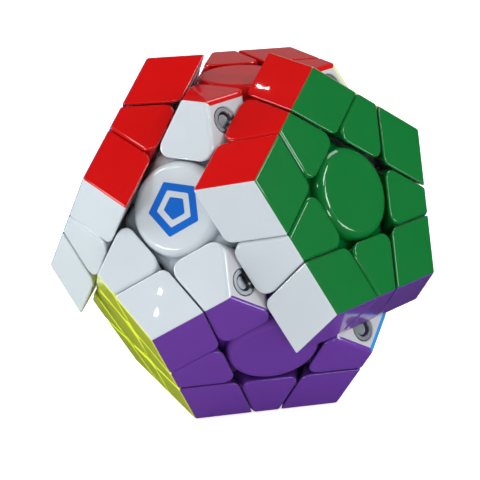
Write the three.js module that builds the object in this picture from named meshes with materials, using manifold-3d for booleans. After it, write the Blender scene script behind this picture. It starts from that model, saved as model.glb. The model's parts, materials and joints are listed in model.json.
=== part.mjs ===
// A twelve-coloured dodecahedron twisty puzzle with one turning layer to each face, standing on its
// orange face. Millimetres, +Z up, origin at the middle of the orange face. The green and blue layers
// are shown partly turned, and they, with the grey layer behind, are free to turn about their faces.
//
// Every layer is parted from the rest by one surface of revolution about its face's axis: a flat cut,
// a cone that leaves the necks of the pieces, and a flare round their feet. An outer piece is the
// part of the dodecahedron that lies inside its own layers and outside all the others, so the feet of
// the edges are held down by the centres, and the feet of the corners by the edges.

import * as THREE from "three";
import { mergeVertices } from "three/addons/utils/BufferGeometryUtils.js";
import Module from "manifold-3d";

const wasm = await Module();
wasm.setup();

// ---- Driving dimensions, in millimetres and radians ----

const EDGE = 33; // one edge of the dodecahedron
const CUT_SHARE = 0.409; // the cuts cross each edge of the dodecahedron at this share of its length
const GAP = 0.44; // between neighbouring pieces
const GREEN_TURN = THREE.MathUtils.degToRad(33.5);
const BLUE_TURN = THREE.MathUtils.degToRad(-43.3);

const NECK_ANGLE = THREE.MathUtils.degToRad(43); // half angle of the cone that leaves the necks
const NECK_REACH = 26; // how far from the middle the neck turns into the foot
const FOOT_ANGLE = THREE.MathUtils.degToRad(50); // half angle where the feet are widest
const FOOT_BOTTOM = 19.6; // the flat undersides of the pieces, from the middle of the puzzle
const LAYER_SEGMENTS = 20;

const CAP_RADIUS = 9.6; // round cap on each centre
const CAP_HEIGHT = 3.6; // how far the cap stands over the pentagon below it
const CAP_SEGMENTS = 24;
const EDGE_TIP_RADIUS = 2.6; // rounding of an edge piece's inner corners, seen from its face
const CORNER_TIP_RADIUS = 1.5; // rounding of a corner piece's inner corner
const TIP_STEPS = 2;
const TIP_DEPTH = 3.6;

const STEM_BORE = 1.65; // screw's hole through a centre
const SPRING_WELL = 3.5; // hole for the spring and the screw's head
const SPRING_WELL_FLOOR = 23.5;
const SPRING_RADIUS = 2.6;
const SPRING_WIRE = 0.3;
const SPRING_TURNS = 3;
const SPRING_STEPS = 24;
const SPRING_BOTTOM = 24.2;
const SPRING_TOP = 28.6;
const SCREW_RADIUS = 1.25;
const SCREW_END = 12;
const SCREW_HEAD_RADIUS = 2.9;
const SCREW_HEAD_HEIGHT = 1.6;
const SCREW_HEAD_BOTTOM = 29.4;
const PLUG_RADIUS = 3.1; // the cap's plug in the top of the well
const PLUG_DEPTH = 1.6;

const CORE_RADIUS = 9;
const CORE_ARM_RADIUS = 3.6;
const CORE_ARM_END = 18.9;
const CORE_ARM_SIDES = 6;
const ROUND_SEGMENTS = 12; // small round parts

const HOOP_RADIUS = 25.2; // joins the ten pieces of the grey layer
const HOOP_THICKNESS = 2.4;
const HOOP_HEIGHT = 1.8;
const HOOP_ABOVE_CUT = 1.4;
const LINK_RADIUS = 1.8; // joins the four pieces at the yellow, lime and orange corner
const LINK_DEPTH = 5;

// ---- The dodecahedron ----

const GOLDEN = (1 + Math.sqrt(5)) / 2;
const FACE_DISTANCE = (EDGE * GOLDEN ** 2) / (2 * Math.sqrt(3 - GOLDEN));
const VERTEX_RADIUS = (EDGE * GOLDEN * Math.sqrt(3)) / 2;
const AXIS_ANGLE = Math.atan(2); // between the axes of neighbouring faces
const FIFTH = (2 * Math.PI) / 5;
const LAYER_DEPTH = CUT_SHARE * EDGE * Math.sqrt((5 + Math.sqrt(5)) / 10);
const CUT_HEIGHT = FACE_DISTANCE - LAYER_DEPTH;
const FAR = 2 * VERTEX_RADIUS; // past everything

function axisAt(fromTop, fifths) {
  const azimuth = fifths * FIFTH;
  return new THREE.Vector3(
    Math.sin(fromTop) * Math.sin(azimuth),
    -Math.sin(fromTop) * Math.cos(azimuth),
    Math.cos(fromTop),
  );
}

const UPPER = AXIS_ANGLE;
const LOWER = Math.PI - AXIS_ANGLE;
const FACES = {
  red: { axis: axisAt(0, 0), colour: 0xcc1616 },
  white: { axis: axisAt(UPPER, 0), colour: 0xe6ecf2 },
  green: { axis: axisAt(UPPER, 1), colour: 0x17803f },
  cream: { axis: axisAt(UPPER, 2), colour: 0xf0e8b8 },
  pink: { axis: axisAt(UPPER, 3), colour: 0xf08cb4 },
  blue: { axis: axisAt(UPPER, 4), colour: 0x1c3f9c },
  purple: { axis: axisAt(LOWER, 0.5), colour: 0x60369a },
  sky: { axis: axisAt(LOWER, 1.5), colour: 0x3d9be6 },
  grey: { axis: axisAt(LOWER, 2.5), colour: 0x8a8f94 },
  lime: { axis: axisAt(LOWER, 3.5), colour: 0x7ccf3a },
  yellow: { axis: axisAt(LOWER, 4.5), colour: 0xe6e23c },
  orange: { axis: axisAt(Math.PI, 0), colour: 0xf07a1c },
};
const FACE_NAMES = Object.keys(FACES);

function areNeighbours(a, b) {
  return Math.abs(FACES[a].axis.angleTo(FACES[b].axis) - AXIS_ANGLE) < 0.01;
}

function neighboursOf(...faces) {
  return FACE_NAMES.filter((name) => faces.every((face) => areNeighbours(name, face)));
}

// The frame of the piece that these faces share: z out through the piece, x towards the first face,
// or on a centre towards its first neighbour.
function frameOf(faces) {
  const z = new THREE.Vector3();
  faces.forEach((face) => z.add(FACES[face].axis));
  z.normalize();
  const towards = faces.length > 1 ? faces[0] : neighboursOf(faces[0])[0];
  const x = FACES[towards].axis.clone();
  x.addScaledVector(z, -x.dot(z)).normalize();
  const y = new THREE.Vector3().crossVectors(z, x);
  return new THREE.Matrix4().makeBasis(x, y, z);
}

// ---- Solids ----

function solidOf(geometry) {
  const bare = geometry.clone();
  bare.deleteAttribute("normal");
  bare.deleteAttribute("uv");
  const merged = mergeVertices(bare, 1e-4);
  return new wasm.Manifold(
    new wasm.Mesh({
      numProp: 3,
      vertProperties: new Float32Array(merged.attributes.position.array),
      triVerts: new Uint32Array(merged.index.array),
    }),
  );
}

function geometryOf(solid) {
  const mesh = solid.getMesh();
  const geometry = new THREE.BufferGeometry();
  geometry.setAttribute("position", new THREE.BufferAttribute(mesh.vertProperties, 3));
  geometry.setIndex(new THREE.BufferAttribute(mesh.triVerts, 1));
  geometry.computeVertexNormals();
  return geometry;
}

// Turns an outline of [radius, height] points about Z.
function turned(outline, segments) {
  const points = outline.map(([radius, height]) => new THREE.Vector2(radius, height));
  return new THREE.LatheGeometry(points, segments).rotateX(Math.PI / 2);
}

function disc(radius, bottom, top, segments = ROUND_SEGMENTS) {
  const height = top - bottom;
  const cylinder = new THREE.CylinderGeometry(radius, radius, height, segments);
  return cylinder.rotateX(Math.PI / 2).translate(0, 0, bottom + height / 2);
}

function dodecahedron() {
  const body = new THREE.DodecahedronGeometry(VERTEX_RADIUS);
  body.rotateY(-Math.atan(1 / GOLDEN));
  return body.rotateZ(Math.PI / 2);
}

// The space that turns with one face, made smaller all round by a negative grow for the face's own
// pieces, or larger for the pieces that must stay out of it. The flats of the larger one touch the
// true round surface on their outside, so that turning never brings the pieces closer.
function layerGeometry(face, grow) {
  const cut = CUT_HEIGHT - grow;
  const spread = grow > 0 ? 1 / Math.cos(Math.PI / LAYER_SEGMENTS) : 1;
  const onCone = (coneAngle, reach) => [
    spread * (reach * Math.sin(coneAngle) + grow * Math.cos(coneAngle)),
    reach * Math.cos(coneAngle) - grow * Math.sin(coneAngle),
  ];
  const neckReach = (cut + grow * Math.sin(NECK_ANGLE)) / Math.cos(NECK_ANGLE);
  const outline = [
    [0, -grow / Math.sin(FOOT_ANGLE)],
    onCone(FOOT_ANGLE, FOOT_BOTTOM),
    onCone(NECK_ANGLE, NECK_REACH + grow),
    onCone(NECK_ANGLE, neckReach),
    [FAR, cut],
    [FAR, FAR],
    [0, FAR],
  ];
  return turned(outline, LAYER_SEGMENTS).applyMatrix4(frameOf([face]));
}

// The sharp corner outside an arc of this radius between two straight sides that meet at the origin
// and lie half the opening to each side of +X, as a prism along Z.
function tipCutter(radius, opening) {
  const reach = radius / Math.sin(opening / 2);
  const start = radius / Math.tan(opening / 2);
  const halfArc = (Math.PI - opening) / 2;
  const shape = new THREE.Shape();
  shape.moveTo(-radius, 0);
  shape.lineTo(start * Math.cos(opening / 2), -start * Math.sin(opening / 2) - radius);
  for (let step = 0; step <= TIP_STEPS; step++) {
    const angle = Math.PI + halfArc * (1 - (2 * step) / TIP_STEPS);
    shape.lineTo(reach + radius * Math.cos(angle), radius * Math.sin(angle));
  }
  shape.lineTo(start * Math.cos(opening / 2), start * Math.sin(opening / 2) + radius);
  shape.closePath();
  return new THREE.ExtrudeGeometry(shape, { depth: 2 * TIP_DEPTH, bevelEnabled: false });
}

// The point on a face where the cuts of two of its neighbours cross.
function cutCrossing(face, first, second) {
  const axes = [face, first, second].map((name) => FACES[name].axis);
  const [a, b, c] = axes;
  const point = new THREE.Vector3().crossVectors(b, c).multiplyScalar(FACE_DISTANCE);
  point.addScaledVector(new THREE.Vector3().crossVectors(c, a), CUT_HEIGHT);
  point.addScaledVector(new THREE.Vector3().crossVectors(a, b), CUT_HEIGHT);
  return point.divideScalar(a.dot(new THREE.Vector3().crossVectors(b, c)));
}

// A tip cutter on a face, where the cuts of two neighbours cross, for the piece on this side of it.
function tipAt(face, first, second, side, radius, opening) {
  const z = FACES[face].axis;
  const x = side.clone().addScaledVector(z, -side.dot(z)).normalize();
  const y = new THREE.Vector3().crossVectors(z, x);
  const place = new THREE.Matrix4().makeBasis(x, y, z);
  place.setPosition(cutCrossing(face, first, second).addScaledVector(z, -TIP_DEPTH));
  return solidOf(tipCutter(radius, opening).applyMatrix4(place));
}

// ---- The pieces, each modelled once at its own place on the red, white and green faces ----

const ownLayer = (face) => solidOf(layerGeometry(face, -GAP / 2));
const otherLayer = (face) => solidOf(layerGeometry(face, GAP / 2));
const body = solidOf(dodecahedron());
const BASE_TOP = FACE_DISTANCE - CAP_HEIGHT;

// All that lies between two heights over the middle, measured along the piece that faces share.
const between = (faces, bottom, top) => solidOf(placed(disc(FAR, bottom, top, 4), faces));

function centreBlock() {
  let block = body.intersect(ownLayer("red"));
  neighboursOf("red").forEach((face) => (block = block.subtract(otherLayer(face))));
  return block.intersect(between(["red"], FOOT_BOTTOM, BASE_TOP));
}

function centreBase() {
  const bore = solidOf(disc(STEM_BORE, 0, FACE_DISTANCE));
  const well = solidOf(disc(SPRING_WELL, SPRING_WELL_FLOOR, FACE_DISTANCE));
  return centreBlock().subtract(bore).subtract(well);
}

function centreCap() {
  const underside = BASE_TOP + GAP;
  const outline = [
    [0, BASE_TOP - PLUG_DEPTH],
    [PLUG_RADIUS, BASE_TOP - PLUG_DEPTH],
    [PLUG_RADIUS, underside],
    [CAP_RADIUS, underside],
    [CAP_RADIUS, FACE_DISTANCE],
    [0, FACE_DISTANCE],
  ];
  return solidOf(turned(outline, CAP_SEGMENTS));
}

function wholeCentre() {
  return centreBlock().add(solidOf(disc(CAP_RADIUS, BASE_TOP - GAP, FACE_DISTANCE, CAP_SEGMENTS)));
}

function edgePiece() {
  const faces = ["red", "white"];
  let piece = body.intersect(between(faces, FOOT_BOTTOM, FAR));
  faces.forEach((face) => (piece = piece.intersect(ownLayer(face))));
  neighboursOf(...faces).forEach((end) => {
    piece = piece.subtract(otherLayer(end));
    faces.forEach((face, index) => {
      const other = faces[1 - index];
      const side = FACES[other].axis.clone().sub(FACES[end].axis);
      const opening = FIFTH; // the two cuts cross at 72 degrees
      piece = piece.subtract(tipAt(face, other, end, side, EDGE_TIP_RADIUS, opening));
    });
  });
  return piece;
}

function cornerPiece() {
  const faces = ["red", "white", "green"];
  let piece = body.intersect(between(faces, FOOT_BOTTOM, FAR));
  faces.forEach((face) => (piece = piece.intersect(ownLayer(face))));
  faces.forEach((face, index) => {
    const [first, second] = [faces[(index + 1) % 3], faces[(index + 2) % 3]];
    const side = FACES[first].axis.clone().add(FACES[second].axis);
    const opening = Math.PI - FIFTH;
    piece = piece.subtract(tipAt(face, first, second, side, CORNER_TIP_RADIUS, opening));
  });
  return piece;
}

class Helix extends THREE.Curve {
  getPoint(t, target = new THREE.Vector3()) {
    const angle = 2 * Math.PI * SPRING_TURNS * t;
    const height = THREE.MathUtils.lerp(SPRING_BOTTOM, SPRING_TOP, t);
    return target.set(SPRING_RADIUS * Math.cos(angle), SPRING_RADIUS * Math.sin(angle), height);
  }
}

function spring() {
  const corners = [0, 1, 2, 3, 4].map((corner) => {
    return new THREE.Vector2(SPRING_WIRE, 0).rotateAround(new THREE.Vector2(), corner * FIFTH);
  });
  const options = { steps: SPRING_STEPS, bevelEnabled: false, extrudePath: new Helix() };
  return solidOf(new THREE.ExtrudeGeometry(new THREE.Shape(corners), options));
}

function screw() {
  const outline = [
    [0, SCREW_END],
    [SCREW_RADIUS, SCREW_END],
    [SCREW_RADIUS, SCREW_HEAD_BOTTOM],
    [SCREW_HEAD_RADIUS, SCREW_HEAD_BOTTOM],
    [SCREW_HEAD_RADIUS, SCREW_HEAD_BOTTOM + SCREW_HEAD_HEIGHT],
    [0, SCREW_HEAD_BOTTOM + SCREW_HEAD_HEIGHT],
  ];
  return solidOf(turned(outline, ROUND_SEGMENTS));
}

function core() {
  let spider = solidOf(new THREE.IcosahedronGeometry(CORE_RADIUS, 1));
  const arm = disc(CORE_ARM_RADIUS, 0, CORE_ARM_END, CORE_ARM_SIDES);
  const bore = disc(STEM_BORE, SCREW_END - GAP, CORE_ARM_END + GAP);
  FACE_NAMES.forEach((face) => (spider = spider.add(solidOf(placed(arm, [face])))));
  TURNING.forEach((face) => (spider = spider.subtract(solidOf(placed(bore, [face])))));
  return spider;
}

// ---- Places ----

// A copy of a geometry modelled along +Z, put on a face.
function placed(geometry, faces) {
  return geometry.clone().applyMatrix4(frameOf(faces));
}

// The turn that takes a piece from its modelled place to another of its kind.
function turnTo(modelledOn, faces) {
  const back = frameOf(modelledOn).invert();
  return new THREE.Matrix4().multiplyMatrices(frameOf(faces), back);
}

function copyOf(model, faces) {
  return model.geometry.clone().applyMatrix4(turnTo(model.faces, faces));
}

// A straight round bar between two points, to join pieces that share one body.
function link(from, to) {
  const along = to.clone().sub(from);
  const bar = new THREE.CylinderGeometry(LINK_RADIUS, LINK_RADIUS, along.length(), 8);
  bar.translate(0, along.length() / 2, 0);
  const turn = new THREE.Quaternion().setFromUnitVectors(
    new THREE.Vector3(0, 1, 0),
    along.clone().normalize(),
  );
  return bar.applyQuaternion(turn).translate(from.x, from.y, from.z);
}

// A point inside the outer part of the piece that these faces share.
function innerPoint(faces) {
  const out = new THREE.Vector3();
  faces.forEach((face) => out.add(FACES[face].axis));
  out.normalize();
  const surface = FACE_DISTANCE / out.dot(FACES[faces[0]].axis);
  return out.multiplyScalar(surface - LINK_DEPTH);
}

function joinedOf(geometries) {
  const [first, ...rest] = geometries.map(solidOf);
  return geometryOf(rest.reduce((whole, solid) => whole.add(solid), first));
}

const TURNING = ["green", "blue", "grey"];
const TURNS = { green: GREEN_TURN, blue: BLUE_TURN, grey: 0 };
const JOINED_EDGES = [
  ["yellow", "lime"],
  ["yellow", "orange"],
  ["lime", "orange"],
];
const JOINED_CORNER = ["yellow", "lime", "orange"];

const MODELS = {
  centre: { geometry: geometryOf(wholeCentre()), faces: ["red"] },
  base: { geometry: geometryOf(centreBase()), faces: ["red"] },
  cap: { geometry: geometryOf(centreCap()), faces: ["red"] },
  screw: { geometry: geometryOf(screw()), faces: ["red"] },
  spring: { geometry: geometryOf(spring()), faces: ["red"] },
  edge: { geometry: geometryOf(edgePiece()), faces: ["red", "white"] },
  corner: { geometry: geometryOf(cornerPiece()), faces: ["red", "white", "green"] },
};

const EDGES = [];
const CORNERS = [];
FACE_NAMES.forEach((a, i) => {
  FACE_NAMES.slice(i + 1).forEach((b, j) => {
    if (!areNeighbours(a, b)) return;
    EDGES.push([a, b]);
    const third = FACE_NAMES.slice(i + j + 2).filter((c) => neighboursOf(a, b).includes(c));
    third.forEach((c) => CORNERS.push([a, b, c]));
  });
});

const sameFaces = (one, other) => one.every((face) => other.includes(face));
const onGrey = (faces) => faces.includes("grey");
const inCluster = (faces) =>
  sameFaces(faces, JOINED_CORNER) || JOINED_EDGES.some((edge) => sameFaces(faces, edge));

// ---- Materials and the finished group ----

const plastic = (colour) =>
  new THREE.MeshStandardMaterial({ color: colour, roughness: 0.28, metalness: 0 });
const steel = () =>
  new THREE.MeshStandardMaterial({ color: 0xb8bcc2, roughness: 0.35, metalness: 1 });
const corePlastic = () =>
  new THREE.MeshStandardMaterial({ color: 0x2b2d31, roughness: 0.5, metalness: 0 });

const puzzle = new THREE.Group();
puzzle.position.z = FACE_DISTANCE;
const layers = {};
TURNING.forEach((face) => {
  layers[face] = new THREE.Group();
  layers[face].quaternion.setFromAxisAngle(FACES[face].axis, TURNS[face]);
  puzzle.add(layers[face]);
});

function addPiece(name, geometry, material, group = puzzle) {
  const mesh = new THREE.Mesh(geometry, material);
  mesh.name = name;
  group.add(mesh);
}

function addCopy(name, model, faces, material, group) {
  const mesh = new THREE.Mesh(model.geometry, material);
  mesh.name = name;
  mesh.quaternion.setFromRotationMatrix(turnTo(model.faces, faces));
  group.add(mesh);
}

const groupFor = (faces) => layers[TURNING.find((face) => faces.includes(face))] ?? puzzle;
const colourOf = (faces) => FACES[faces[0]].colour;

addPiece("core_spider", geometryOf(core()), corePlastic());

FACE_NAMES.forEach((face) => {
  const colour = FACES[face].colour;
  if (!TURNING.includes(face)) {
    addCopy(`centre_${face}`, MODELS.centre, [face], plastic(colour), puzzle);
    return;
  }
  addCopy(`centre_base_${face}`, MODELS.base, [face], plastic(colour), layers[face]);
  addCopy(`centre_cap_${face}`, MODELS.cap, [face], plastic(colour), layers[face]);
  addCopy(`screw_${face}`, MODELS.screw, [face], steel(), puzzle);
  addCopy(`spring_${face}`, MODELS.spring, [face], steel(), puzzle);
});

EDGES.forEach((faces) => {
  if (onGrey(faces) || inCluster(faces)) return;
  const name = `edge_${faces.join("_")}`;
  addCopy(name, MODELS.edge, faces, plastic(colourOf(faces)), groupFor(faces));
});

CORNERS.forEach((faces) => {
  if (onGrey(faces) || inCluster(faces)) return;
  const name = `corner_${faces.join("_")}`;
  addCopy(name, MODELS.corner, faces, plastic(colourOf(faces)), groupFor(faces));
});

// The ten outer pieces of the grey layer, joined by a hoop inside them.
const hoopInside = HOOP_RADIUS - HOOP_THICKNESS / 2;
const hoopBottom = CUT_HEIGHT + HOOP_ABOVE_CUT;
const hoop = turned(
  [
    [hoopInside, hoopBottom],
    [hoopInside + HOOP_THICKNESS, hoopBottom],
    [hoopInside + HOOP_THICKNESS, hoopBottom + HOOP_HEIGHT],
    [hoopInside, hoopBottom + HOOP_HEIGHT],
    [hoopInside, hoopBottom],
  ],
  LAYER_SEGMENTS,
);
const greyPieces = [
  ...EDGES.filter(onGrey).map((faces) => copyOf(MODELS.edge, faces)),
  ...CORNERS.filter(onGrey).map((faces) => copyOf(MODELS.corner, faces)),
];
const greyRing = joinedOf([placed(hoop, ["grey"]), ...greyPieces]);
addPiece("grey_layer_ring", greyRing, plastic(FACES.grey.colour), layers.grey);

// Three edges and the corner between them, joined by short bars inside them.
const cornerMiddle = innerPoint(JOINED_CORNER);
const cluster = joinedOf([
  copyOf(MODELS.corner, JOINED_CORNER),
  ...JOINED_EDGES.map((faces) => copyOf(MODELS.edge, faces)),
  ...JOINED_EDGES.map((faces) => link(cornerMiddle, innerPoint(faces))),
]);
addPiece("corner_yellow_lime_orange_with_edges", cluster, plastic(FACES.yellow.colour));

export default puzzle;
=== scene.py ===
# %% [markdown]
# # A dodecahedron twisty puzzle, piece by piece
# The real puzzle is a ball of separate plastic pieces: twelve centres screwed to a core, thirty edges
# and twenty corners, each with a white body and a coloured shell for every outer face. We could shape
# the whole puzzle at once and paint it, but then no layer could turn. So each kind of piece is
# modelled once, at its own place, and copied to all its other places by turning it about the middle.

# %% Load the frame
import json
import math

import bpy
from mathutils import Matrix, Vector


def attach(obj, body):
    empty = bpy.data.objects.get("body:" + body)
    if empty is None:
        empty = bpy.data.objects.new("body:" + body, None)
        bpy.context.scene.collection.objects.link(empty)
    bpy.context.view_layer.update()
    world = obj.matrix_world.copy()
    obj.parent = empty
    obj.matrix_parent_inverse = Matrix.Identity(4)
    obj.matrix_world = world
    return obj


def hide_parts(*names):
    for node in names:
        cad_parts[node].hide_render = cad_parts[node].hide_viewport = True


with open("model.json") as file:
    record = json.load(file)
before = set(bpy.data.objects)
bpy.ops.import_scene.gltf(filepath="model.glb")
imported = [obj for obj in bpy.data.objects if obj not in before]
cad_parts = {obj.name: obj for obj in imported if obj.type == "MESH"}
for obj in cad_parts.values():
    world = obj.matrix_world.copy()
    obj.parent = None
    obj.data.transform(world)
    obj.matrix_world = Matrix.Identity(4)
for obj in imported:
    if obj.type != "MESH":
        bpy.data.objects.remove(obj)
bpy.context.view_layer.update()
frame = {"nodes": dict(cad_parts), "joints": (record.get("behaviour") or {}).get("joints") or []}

# %% [markdown]
# ## The few sizes that everything follows from
# A dodecahedron has one size, the length of its edge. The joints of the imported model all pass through
# the puzzle's middle, and the puzzle stands on a face, so the height of the middle is the distance
# from the middle to every face. The edge, the depth of a layer and the places of the cuts are worked
# out from that. Blender counts in metres, so MM keeps small sizes readable.

# %% Sizes of the dodecahedron and its cuts
MM = 0.001
GOLDEN = (1 + math.sqrt(5)) / 2
MIDDLE = Vector(frame["joints"][0]["pos_m"])
FACE_DISTANCE = MIDDLE.z
EDGE = FACE_DISTANCE * 2 * math.sqrt(3 - GOLDEN) / GOLDEN**2
AXIS_ANGLE = math.atan(2)  # between the axes of neighbouring faces
ANGLE_SLACK = 0.01
FIFTH = math.tau / 5
CUT_SHARE = 0.409  # a cut crosses an edge of the dodecahedron at this share of its length
CUT_HEIGHT = FACE_DISTANCE - CUT_SHARE * EDGE * math.sqrt((5 + math.sqrt(5)) / 10)
HALF_GAP = 0.16 * MM  # half the play between a turning layer and the rest
OWN_CUT = CUT_HEIGHT + HALF_GAP
OTHER_CUT = CUT_HEIGHT - HALF_GAP
GREEN_TURN = math.radians(33.5)
BLUE_TURN = math.radians(-43.3)
print("edge", round(EDGE / MM, 2), "mm, layer", round((FACE_DISTANCE - CUT_HEIGHT) / MM, 2), "mm deep")

# %% [markdown]
# ## Naming the twelve faces
# The puzzle stands on orange with red on top. Five faces lean up round the red one and five lean
# down between them. An axis is a vector of length one, so the angle between two axes tells whether
# their faces are neighbours. Edges are the pairs of neighbours and corners are the threes, which
# saves writing out fifty names by hand.

# %% Face axes, edges and corners
def axis_at(from_top, fifths):
    """The outward direction of a face, leaning this far from straight up."""
    turn = fifths * FIFTH
    side = math.sin(from_top)
    return Vector((side * math.sin(turn), -side * math.cos(turn), math.cos(from_top)))


UPPER = ("white", "green", "cream", "pink", "blue")
LOWER = ("purple", "sky", "grey", "lime", "yellow")
AXES = {"red": axis_at(0, 0)}
AXES.update({name: axis_at(AXIS_ANGLE, place) for place, name in enumerate(UPPER)})
AXES.update({name: axis_at(math.pi - AXIS_ANGLE, place + 0.5) for place, name in enumerate(LOWER)})
AXES["orange"] = axis_at(math.pi, 0)
FACES = list(AXES)


def side_by_side(one, other):
    return abs(AXES[one].angle(AXES[other]) - AXIS_ANGLE) < ANGLE_SLACK


def neighbours(*faces):
    """The faces that share an edge with every one of these."""
    return [name for name in FACES if all(side_by_side(name, face) for face in faces)]


EDGES = [(a, b) for a in FACES for b in neighbours(a) if FACES.index(a) < FACES.index(b)]
CORNERS = [(a, b, c) for a, b in EDGES for c in neighbours(a, b) if FACES.index(b) < FACES.index(c)]
TURNS = {"green": GREEN_TURN, "blue": BLUE_TURN, "grey": 0.0}
print(len(FACES), "centres,", len(EDGES), "edges,", len(CORNERS), "corners")


# %% [markdown]
# ## Taking a piece from one place to another
# Every corner is the same shape, only turned about the middle. To find that turn, we give each place
# a small frame of three directions: out through the piece, towards its first face, and across. One
# matrix undoes the frame of the place where we modelled, the next one applies the frame of the new
# place, and a last one swings the pieces of a turned layer about their face.

# %% Frames and placing matrices
def frame_of(faces):
    """The turn from the world's axes to a piece's own: z out, x towards its first face."""
    out = sum((AXES[face] for face in faces), Vector()).normalized()
    towards = AXES[faces[0]] if len(faces) > 1 else AXES[neighbours(faces[0])[0]]
    side = (towards - out * towards.dot(out)).normalized()
    return Matrix((side, out.cross(side), out)).transposed().to_4x4()


def layer_of(faces):
    """The turning layer that a piece belongs to, or None."""
    return next((face for face in faces if face in TURNS), None)


def placing(modelled_on, faces):
    """Takes a piece modelled about the middle to its place in the finished puzzle."""
    turn = frame_of(faces) @ frame_of(modelled_on).inverted()
    layer = layer_of(faces)
    if layer:
        turn = Matrix.Rotation(TURNS[layer], 4, AXES[layer]) @ turn
    return Matrix.Translation(MIDDLE) @ turn


def body_for(faces):
    layer = layer_of(faces)
    return f"{layer}_layer" if layer else "root"


print("the white and green edge rides on", body_for(("white", "green")))


# %% [markdown]
# ## Tools for modelling by hand, in code
# Blender's operators act on what is selected, and loading the frame left its nodes selected, so each
# piece begins by deselecting everything. Faces and edges are chosen by a question about where they
# are. Cutting a block with planes is done with Bisect, which clears one side and fills the cut.

# %% Selecting
def select_nothing():
    bpy.ops.object.select_all(action="DESELECT")


def only(piece):
    """Makes this piece the one selected object."""
    select_nothing()
    piece.select_set(True)
    bpy.context.view_layer.objects.active = piece


def newest(name):
    piece = bpy.context.active_object
    piece.name = name
    return piece


def cube(name, size, place):
    """A cube to cut to shape, with its place in its mesh."""
    select_nothing()
    bpy.ops.mesh.primitive_cube_add(size=size, location=place)
    bpy.ops.object.transform_apply(location=True)
    return newest(name)


def edit_all(piece, kind=None):
    """Goes into edit mode with the whole piece selected, as faces or edges if asked."""
    only(piece)
    bpy.ops.object.mode_set(mode="EDIT")
    if kind:
        bpy.ops.mesh.select_mode(type=kind)
    bpy.ops.mesh.select_all(action="SELECT")


def end_edit():
    """Turns all faces of the piece outwards and goes back to object mode."""
    bpy.ops.mesh.select_all(action="SELECT")
    bpy.ops.mesh.normals_make_consistent(inside=False)
    bpy.ops.object.mode_set(mode="OBJECT")


print("selecting tools ready")


# %% Cutting and rounding
NEAR = 0.002 * MM
EXACTLY = 1e-7


def keep_inside(piece, normal, distance):
    """Cuts the piece with a plane and keeps what lies on the middle's side of it."""
    edit_all(piece)
    bpy.ops.mesh.bisect(
        plane_co=normal * distance,
        plane_no=normal,
        use_fill=True,
        clear_outer=True,
        threshold=EXACTLY,
    )
    bpy.ops.object.mode_set(mode="OBJECT")


def keep_outside(piece, normal, distance):
    keep_inside(piece, -normal, -distance)


def select_edges(piece, wanted):
    """Goes into edit mode with the edges selected whose two ends give a yes to the question."""
    edit_all(piece, "EDGE")
    bpy.ops.mesh.select_all(action="DESELECT")
    bpy.ops.object.mode_set(mode="OBJECT")
    ends = piece.data.vertices
    for edge in piece.data.edges:
        first, second = edge.vertices
        edge.select = bool(wanted(ends[first].co, ends[second].co))
    bpy.ops.object.mode_set(mode="EDIT")


def round_edges(piece, wanted, width, segments):
    """Bevels the chosen edges into a round of this many steps."""
    select_edges(piece, wanted)
    bpy.ops.mesh.bevel(offset=width, segments=segments, affect="EDGES", clamp_overlap=False)
    bpy.ops.object.mode_set(mode="OBJECT")


def on_plane(point, normal, distance):
    return abs(point.dot(normal) - distance) < NEAR


print("planes are matched to within", NEAR, "m")


# %% [markdown]
# ## Finishing a piece
# A moulded edge is a tight round, and it has to catch a thin highlight while the faces beside it stay
# flat. Smooth shading alone would bend the light over the whole face. So we smooth only up to an
# angle, and then let the Weighted Normal modifier lean every corner's normal towards its biggest
# face. Booleans, which join or cut two pieces, are modifiers too and are applied at once.

# %% Joining, cutting and smoothing
SMOOTH_ANGLE = math.radians(40)


def combine(piece, tool, operation):
    """Joins another piece to this one, or cuts it away, and throws the tool out."""
    only(piece)
    bpy.ops.object.modifier_add(type="BOOLEAN")
    boolean = piece.modifiers[-1]
    boolean.operation = operation
    boolean.solver = "EXACT"
    boolean.object = tool
    bpy.ops.object.modifier_apply(modifier=boolean.name)
    bpy.data.objects.remove(tool)


def smooth(piece):
    only(piece)
    bpy.ops.object.shade_smooth_by_angle(angle=SMOOTH_ANGLE)
    bpy.ops.object.modifier_add(type="WEIGHTED_NORMAL")
    piece.modifiers[-1].keep_sharp = True
    bpy.ops.object.modifier_apply(modifier=piece.modifiers[-1].name)


def twin(piece, name):
    """A second piece with a mesh of its own."""
    copy = piece.copy()
    copy.data = piece.data.copy()
    copy.name = name
    bpy.context.scene.collection.objects.link(copy)
    return copy


def faces_in(piece):
    return len(piece.data.polygons)


print("smoothing stops at", round(math.degrees(SMOOTH_ANGLE)), "degrees")

# %% [markdown]
# ## The corner block
# A corner starts as a cube round its own place. Three planes are the outer faces and three are the
# cuts that part it from the rest, which leaves a block of six equal rhombs. The three edges that run
# inwards are rounded wide, because they make the soft inner tip of each coloured kite, and then every
# edge that touches an outer face gets the small round of the mould.

# %% Cut and round the corner block
CORNER = ("red", "white", "green")
RIM_ROUND = 0.56 * MM
RIM_STEPS = 4
CORNER_TIP = 1.5 * MM
CORNER_TIP_STEPS = 6
VERTEX_RADIUS = EDGE * GOLDEN * math.sqrt(3) / 2
BLOCK_SIZE = 1.6 * EDGE


def direction(faces):
    return sum((AXES[face] for face in faces), Vector()).normalized()


def planes_through(a, b, faces, distance):
    """How many of these faces' planes, moved to this distance, the edge from a to b lies in."""
    return sum(on_plane(a, AXES[face], distance) and on_plane(b, AXES[face], distance) for face in faces)


def block_of(name, faces):
    """A block between the outer planes of these faces and their cuts."""
    block = cube(name, BLOCK_SIZE, direction(faces) * VERTEX_RADIUS)
    for face in faces:
        keep_inside(block, AXES[face], FACE_DISTANCE)
        keep_outside(block, AXES[face], OWN_CUT)
    return block


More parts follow.
